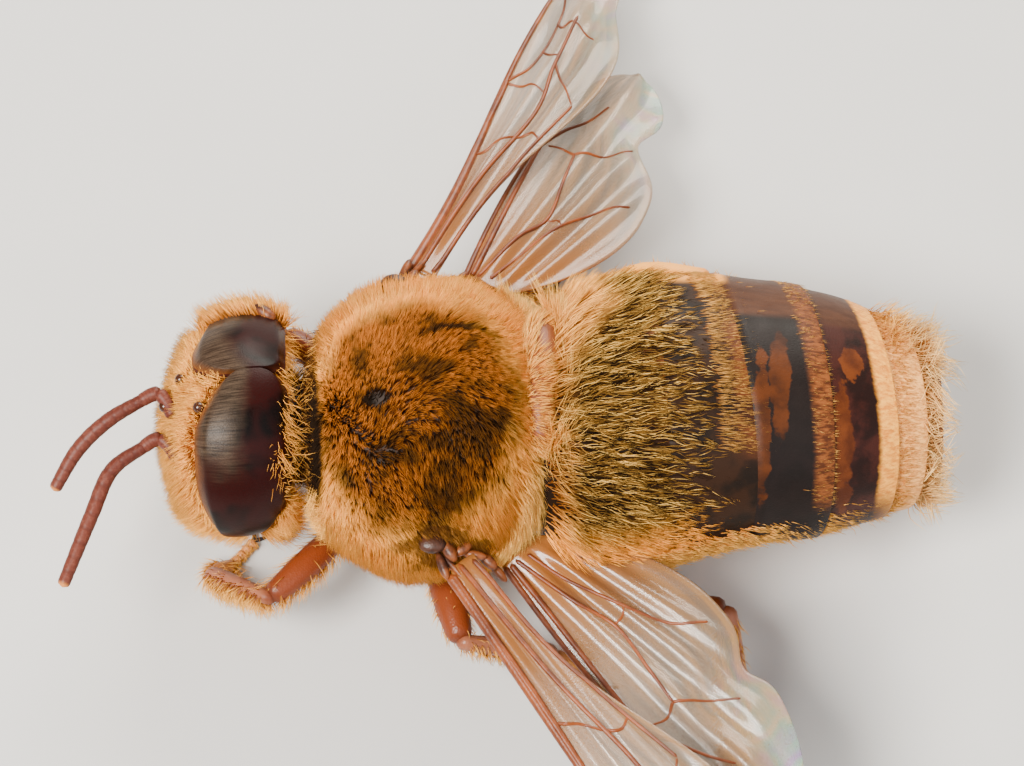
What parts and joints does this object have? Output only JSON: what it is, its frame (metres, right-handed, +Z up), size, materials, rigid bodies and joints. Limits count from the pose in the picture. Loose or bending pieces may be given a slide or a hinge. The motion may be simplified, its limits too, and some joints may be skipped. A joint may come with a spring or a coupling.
{
  "type": "drone honey bee",
  "caption": "Life-size still model of a male honey bee, standing with its wings spread, body divided into its natural parts.",
  "frame": {"origin": "floor level under the middle of the bee's box, wing tips and antennae included", "axes": "+X towards the tail, so the head points to -X; -Y is the bee's left side; +Z up"},
  "size_m": [0.018, 0.0248, 0.0065],
  "materials": {
    "coat_ochre": "dense soft ochre hair over near-black skin",
    "coat_pale": "soft cream-gold hair",
    "shell_dark": "satin black-brown cuticle with orange-brown patches",
    "shell_amber": "shiny amber-brown cuticle",
    "eye": "dark brown faceted compound eye",
    "ocellus": "glassy brown bead",
    "antenna": "finely downy reddish brown",
    "wing": "clear iridescent membrane with orange-brown veins"
  },
  "bodies": {
    "root": {"abdomen_1": "coat_ochre", "abdomen_2": "coat_ochre", "abdomen_3": "shell_dark", "abdomen_4": "shell_dark", "abdomen_5": "shell_amber", "eye_left": "eye", "eye_right": "eye", "flagellum_left": "antenna", "flagellum_right": "antenna", "forewing_left": "wing", "forewing_right": "wing", "head": "coat_pale", "hindwing_left": "wing", "hindwing_right": "wing", "leg_front_left_femur": "shell_amber", "leg_front_left_foot": "coat_pale", "leg_front_left_tibia": "shell_amber", "leg_front_right_femur": "shell_amber", "leg_front_right_foot": "coat_pale", "leg_front_right_tibia": "shell_amber", "leg_hind_left_femur": "shell_amber", "leg_hind_left_foot": "coat_pale", "leg_hind_left_tibia": "shell_amber", "leg_hind_right_femur": "shell_amber", "leg_hind_right_foot": "coat_pale", "leg_hind_right_tibia": "shell_amber", "leg_middle_left_femur": "shell_amber", "leg_middle_left_foot": "coat_pale", "leg_middle_left_tibia": "shell_amber", "leg_middle_right_femur": "shell_amber", "leg_middle_right_foot": "coat_pale", "leg_middle_right_tibia": "shell_amber", "mandible_left": "shell_amber", "mandible_right": "shell_amber", "neck": "shell_amber", "ocellus_left": "ocellus", "ocellus_middle": "ocellus", "ocellus_right": "ocellus", "pedicel_left": "antenna", "pedicel_right": "antenna", "proboscis": "shell_amber", "scape_left": "antenna", "scape_right": "antenna", "scutellum": "shell_amber", "tail": "coat_pale", "tegula_left": "shell_dark", "tegula_right": "shell_dark", "thorax": "coat_ochre"}
  },
  "joints": []
}
